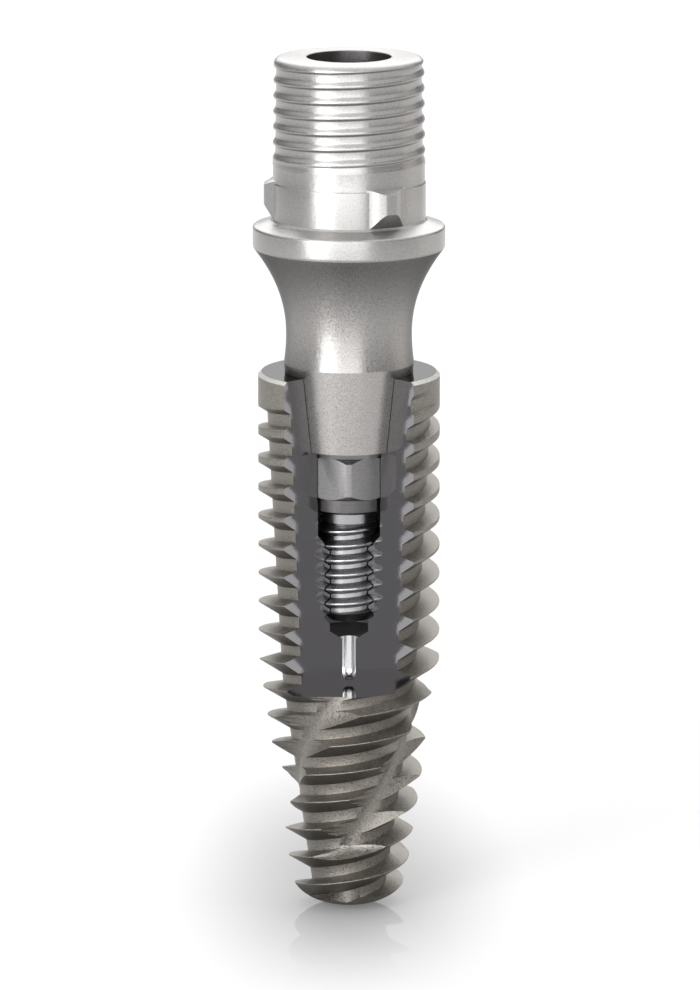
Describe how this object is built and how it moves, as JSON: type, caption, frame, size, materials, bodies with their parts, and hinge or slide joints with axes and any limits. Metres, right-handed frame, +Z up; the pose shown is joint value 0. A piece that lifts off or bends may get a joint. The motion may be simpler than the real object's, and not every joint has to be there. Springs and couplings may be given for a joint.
{
  "type": "dental implant",
  "caption": "Screw-type dental implant with a window cut in its side, which shows the conical hexagon seat of the titanium base on top and the abutment screw that holds it.",
  "frame": {"origin": "middle of the implant's platform, the flat face round the conical seat", "axes": "+Z up along the implant's axis to the chimney of the titanium base, -Y towards the window"},
  "size_m": [0.0046, 0.0046, 0.0204],
  "materials": {
    "blasted_titanium": "blasted and etched titanium, matt warm grey",
    "turned_titanium": "fine-turned titanium, satin grey",
    "polished_titanium": "smooth-turned titanium, glossy grey"
  },
  "bodies": {
    "implant": {"implant_body": "blasted_titanium"},
    "base": {"ti_base": "turned_titanium"},
    "screw": {"abutment_screw": "polished_titanium"}
  },
  "joints": [
    {"name": "base_lift", "type": "slide", "parent": "implant", "child": "base", "axis": [0, 0, 1], "range_m": [0, 0.00184]},
    {"name": "screw_turn", "type": "hinge", "parent": "base", "child": "screw", "pos_m": [0, 0, 0], "axis": [0, 0, 1], "range_deg": [0, 1890]}
  ],
  "couplings": [
    {"joint": "screw_turn", "follows": "base_lift", "rad_per_m": 17952}
  ]
}
